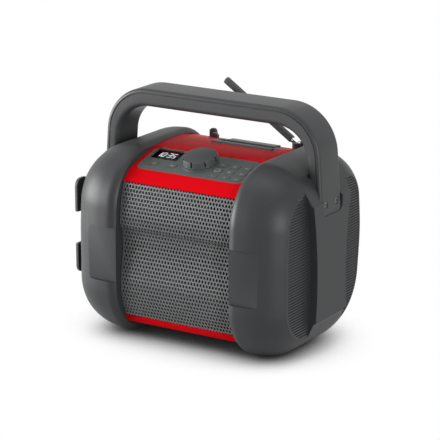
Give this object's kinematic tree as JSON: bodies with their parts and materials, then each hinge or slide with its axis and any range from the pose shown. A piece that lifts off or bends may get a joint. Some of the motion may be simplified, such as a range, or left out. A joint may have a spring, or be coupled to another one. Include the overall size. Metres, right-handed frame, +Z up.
{
  "type": "jobsite radio",
  "caption": "Rugged portable radio with rubber end bumpers, perforated front, sloping control panel, top handle, folding aerial, phone rest and rear port flap.",
  "frame": {"origin": "on the ground under the middle of the body", "axes": "+X to the viewer's right along the body, -Y the grille side, +Z up"},
  "size_m": [0.295, 0.2147, 0.2863],
  "materials": {
    "bumper": "fine matte grain",
    "rib": "matte",
    "red": "satin red",
    "grille": "satin silver-grey",
    "cloth": "black acoustic cloth",
    "inner_plastic": "black",
    "panel": "fine matte",
    "keys": "matte with pale icons",
    "knob": "soft matte",
    "lens": "clear display window",
    "display": "dark display with pale digits",
    "board": "green laminate",
    "steel": "plain steel",
    "basket": "black",
    "surround": "matte",
    "cone": "dark paper cone",
    "magnet": "bare ferrite",
    "strap": "soft grip",
    "frame": "fine matte",
    "screws": "blackened",
    "whip": "matte",
    "knuckle": "bright",
    "turret": "matte",
    "clip": "matte",
    "lip": "soft",
    "heat_sink": "anodised",
    "cell": "plain wrap",
    "hook": "matte",
    "pad": "matte"
  },
  "bodies": {
    "radio": {"right_bumper": "bumper", "left_bumper": "bumper", "right_front_rib_panel": "rib", "right_rear_rib_panel": "rib", "left_front_rib_panel": "rib", "left_rear_rib_panel": "rib", "top_cover": "red", "bottom_tray": "red", "rear_panel": "inner_plastic", "front_grille": "grille", "grille_cloth": "cloth", "baffle": "inner_plastic", "woofer_basket": "basket", "woofer_surround": "surround", "woofer_cone": "cone", "woofer_magnet": "magnet", "woofer_screws": "screws", "control_panel": "panel", "control_board": "board", "display_lens": "lens", "display_module": "display", "encoder_body": "steel", "handle_strap": "strap", "handle_frame": "frame", "handle_screws": "screws", "antenna_clip": "clip", "phone_tray": "inner_plastic", "phone_lip": "lip", "phone_flap_pin": "steel", "port_flap_pin": "steel", "dc_inlet": "inner_plastic", "usb_socket": "steel", "audio_socket": "inner_plastic", "main_board": "board", "heat_sink": "heat_sink", "battery_cells": "cell", "battery_holder": "inner_plastic", "battery_door": "inner_plastic", "cord_hooks": "hook", "foot_pads": "pad"},
    "knob": {"volume_knob": "knob", "encoder_shaft": "steel"},
    "antenna_base": {"antenna_turret": "turret", "antenna_pin": "steel"},
    "antenna": {"antenna_whip": "whip", "antenna_tip": "whip", "antenna_knuckle": "knuckle"},
    "phone_flap": {"phone_flap": "inner_plastic"},
    "port_flap": {"port_flap": "lip"},
    "power_key": {"power_key": "keys"},
    "source_key": {"source_key": "keys"},
    "bass_key": {"bass_key": "keys"},
    "light_key": {"light_key": "keys"},
    "pair_key": {"pair_key": "keys"},
    "play_key": {"play_key": "keys"},
    "previous_key": {"previous_key": "keys"},
    "next_key": {"next_key": "keys"},
    "preset_one_key": {"preset_one_key": "keys"},
    "preset_two_key": {"preset_two_key": "keys"},
    "preset_three_key": {"preset_three_key": "keys"}
  },
  "joints": [
    {"name": "knob_turn", "type": "hinge", "parent": "radio", "child": "knob", "pos_m": [0, -0.04167, 0.21137], "axis": [0, -0.2368, 0.9715], "continuous": true},
    {"name": "power_key_press", "type": "slide", "parent": "radio", "child": "power_key", "axis": [0, 0.2875, -0.9578], "range_m": [0, 0.0006], "stiffness_N_per_m": 350, "springref_m": -0.001},
    {"name": "source_key_press", "type": "slide", "parent": "radio", "child": "source_key", "axis": [0, 0.2875, -0.9578], "range_m": [0, 0.0006], "stiffness_N_per_m": 350, "springref_m": -0.001},
    {"name": "bass_key_press", "type": "slide", "parent": "radio", "child": "bass_key", "axis": [0, 0.2875, -0.9578], "range_m": [0, 0.0006], "stiffness_N_per_m": 350, "springref_m": -0.001},
    {"name": "light_key_press", "type": "slide", "parent": "radio", "child": "light_key", "axis": [0, 0.2875, -0.9578], "range_m": [0, 0.0006], "stiffness_N_per_m": 350, "springref_m": -0.001},
    {"name": "pair_key_press", "type": "slide", "parent": "radio", "child": "pair_key", "axis": [0, 0.2875, -0.9578], "range_m": [0, 0.0006], "stiffness_N_per_m": 350, "springref_m": -0.001},
    {"name": "play_key_press", "type": "slide", "parent": "radio", "child": "play_key", "axis": [0, 0.2875, -0.9578], "range_m": [0, 0.0006], "stiffness_N_per_m": 350, "springref_m": -0.001},
    {"name": "previous_key_press", "type": "slide", "parent": "radio", "child": "previous_key", "axis": [0, 0.2875, -0.9578], "range_m": [0, 0.0006], "stiffness_N_per_m": 350, "springref_m": -0.001},
    {"name": "next_key_press", "type": "slide", "parent": "radio", "child": "next_key", "axis": [0, 0.2875, -0.9578], "range_m": [0, 0.0006], "stiffness_N_per_m": 350, "springref_m": -0.001},
    {"name": "preset_one_key_press", "type": "slide", "parent": "radio", "child": "preset_one_key", "axis": [0, 0.2875, -0.9578], "range_m": [0, 0.0006], "stiffness_N_per_m": 350, "springref_m": -0.001},
    {"name": "preset_two_key_press", "type": "slide", "parent": "radio", "child": "preset_two_key", "axis": [0, 0.2875, -0.9578], "range_m": [0, 0.0006], "stiffness_N_per_m": 350, "springref_m": -0.001},
    {"name": "preset_three_key_press", "type": "slide", "parent": "radio", "child": "preset_three_key", "axis": [0, 0.2875, -0.9578], "range_m": [0, 0.0006], "stiffness_N_per_m": 350, "springref_m": -0.001},
    {"name": "antenna_swivel", "type": "hinge", "parent": "radio", "child": "antenna_base", "pos_m": [0.066, 0.062, 0.2182], "axis": [0, 0, 1], "range_deg": [-90, 15]},
    {"name": "antenna_tilt", "type": "hinge", "parent": "antenna_base", "child": "antenna", "pos_m": [0.066, 0.062, 0.2182], "axis": [0, 1, 0], "range_deg": [-33.8, 56.2]},
    {"name": "phone_flap_hinge", "type": "hinge", "parent": "radio", "child": "phone_flap", "pos_m": [0, 0.0441, 0.2156], "axis": [1, 0, 0], "range_deg": [0, 80]},
    {"name": "port_flap_hinge", "type": "hinge", "parent": "radio", "child": "port_flap", "pos_m": [-0.0505, 0.0998, 0.0852], "axis": [0, 0, 1], "range_deg": [0, 110]}
  ]
}
